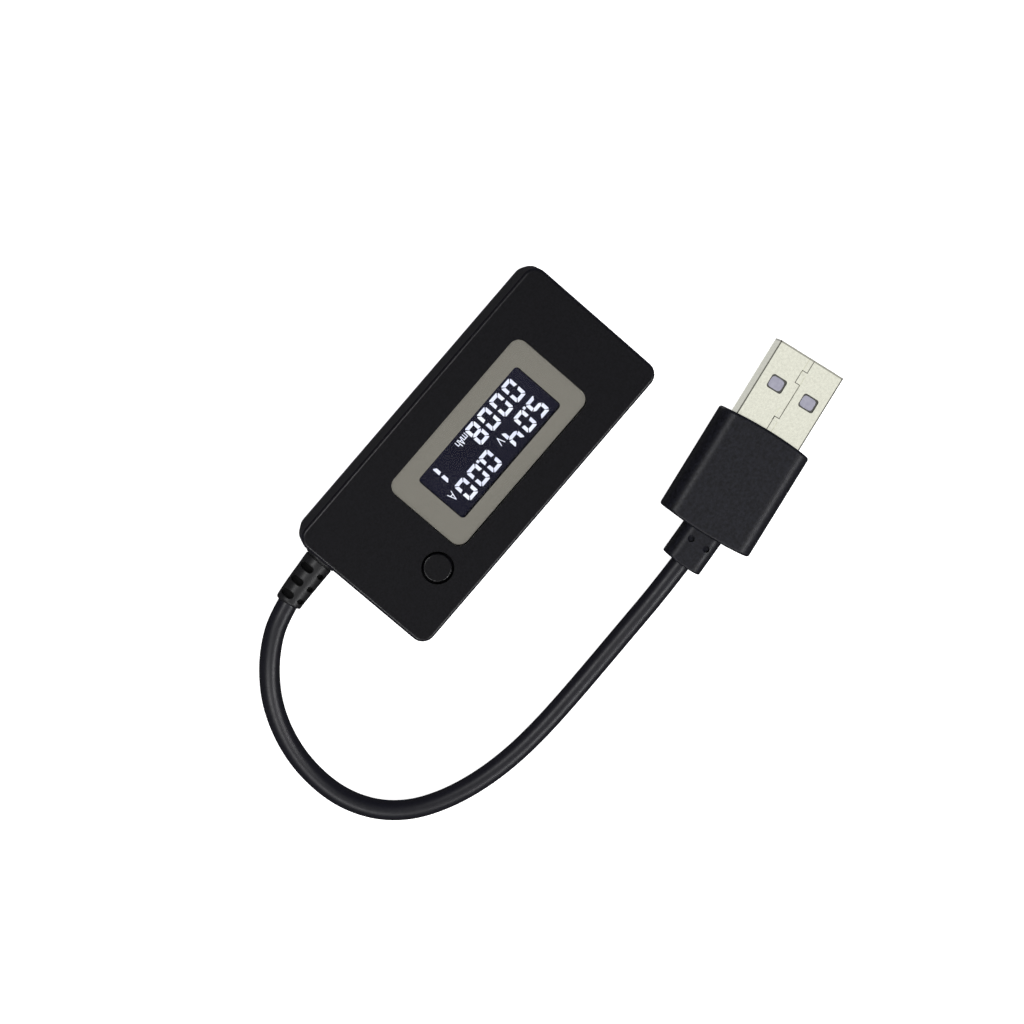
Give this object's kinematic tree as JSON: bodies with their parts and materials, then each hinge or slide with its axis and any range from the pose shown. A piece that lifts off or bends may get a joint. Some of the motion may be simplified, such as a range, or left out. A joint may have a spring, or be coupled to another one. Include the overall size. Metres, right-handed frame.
{
  "type": "usb power meter",
  "caption": "Small black plug-through USB power meter: two-shell housing with lit segment display, push button, USB-A socket, and a short captive lead to a USB-A plug.",
  "frame": {"origin": "middle of the housing's rear face, on the surface it lies on; the lead and plug are not counted", "axes": "+X along the display text from the socket end to the lead end, +Y up the display text, +Z out of the display"},
  "size_m": [0.1051, 0.0583, 0.0132],
  "materials": {
    "housing_black": "fine spark-eroded texture, satin",
    "button_black": "satin, same moulding resin as the housing",
    "window_clear": "polished clear acrylic",
    "mask_grey": "screen-printed warm grey border",
    "adhesive": "black double-sided tape",
    "polariser": "smooth film, near black with a blue cast",
    "lcd_glass": "thin polished glass",
    "light_guide": "clear acrylic with a frosted back",
    "white_plastic": "white moulded plastic",
    "led_body": "white body with a yellow phosphor face",
    "tin": "tin-plated leads",
    "board_green": "green solder resist over fibreglass",
    "chip_black": "moulded epoxy",
    "ceramic_tan": "fired ceramic",
    "nickel": "nickel plate, lightly rubbed, slightly warm",
    "socket_plastic": "moulded nylon",
    "gold": "gold-flashed contacts",
    "switch_plastic": "moulded nylon",
    "steel": "stainless sheet",
    "relief_black": "matte moulded PVC",
    "lead_black": "extruded PVC, semi-gloss",
    "wire_red": "PVC insulation",
    "wire_black": "PVC insulation",
    "wire_green": "PVC insulation",
    "wire_white": "PVC insulation",
    "overmould_black": "soft PVC moulding, satin",
    "inner_mould": "milky polyethylene",
    "plug_plastic": "lilac-grey moulded plastic",
    "display_segments": "lit segments, cool white"
  },
  "bodies": {
    "housing": {"front_cover": "housing_black", "rear_cover": "housing_black", "display_window": "window_clear", "window_mask": "mask_grey", "window_adhesive": "adhesive", "lcd_front_polariser": "polariser", "lcd_front_glass": "lcd_glass", "lcd_rear_glass": "lcd_glass", "lcd_rear_polariser": "polariser", "backlight_light_guide": "light_guide", "backlight_led": "led_body", "display_holder": "white_plastic", "lcd_pins": "tin", "main_board": "board_green", "microcontroller": "chip_black", "microcontroller_leads": "tin", "shunt_resistor": "chip_black", "voltage_regulator": "chip_black", "smd_capacitors": "ceramic_tan", "smd_resistors": "chip_black", "usb_socket_shell": "nickel", "usb_socket_insulator": "socket_plastic", "usb_socket_contacts": "gold", "switch_base": "switch_plastic", "switch_cover_plate": "steel", "switch_dome": "steel", "switch_legs": "tin", "strain_relief": "relief_black", "cable_jacket": "lead_black", "wire_power": "wire_red", "wire_ground": "wire_black", "wire_data_plus": "wire_green", "wire_data_minus": "wire_white", "plug_overmould": "overmould_black", "plug_inner_mould": "inner_mould", "plug_shell": "nickel", "plug_insulator": "plug_plastic", "plug_contacts": "gold"},
    "button": {"button_cap": "button_black", "switch_plunger": "switch_plastic"}
  },
  "joints": [
    {"name": "button_press", "type": "slide", "parent": "housing", "child": "button", "axis": [0, 0, -1], "range_m": [0, 0.0003], "stiffness_N_per_m": 300, "springref_m": -0.0005, "deforming": ["switch_dome"]}
  ]
}
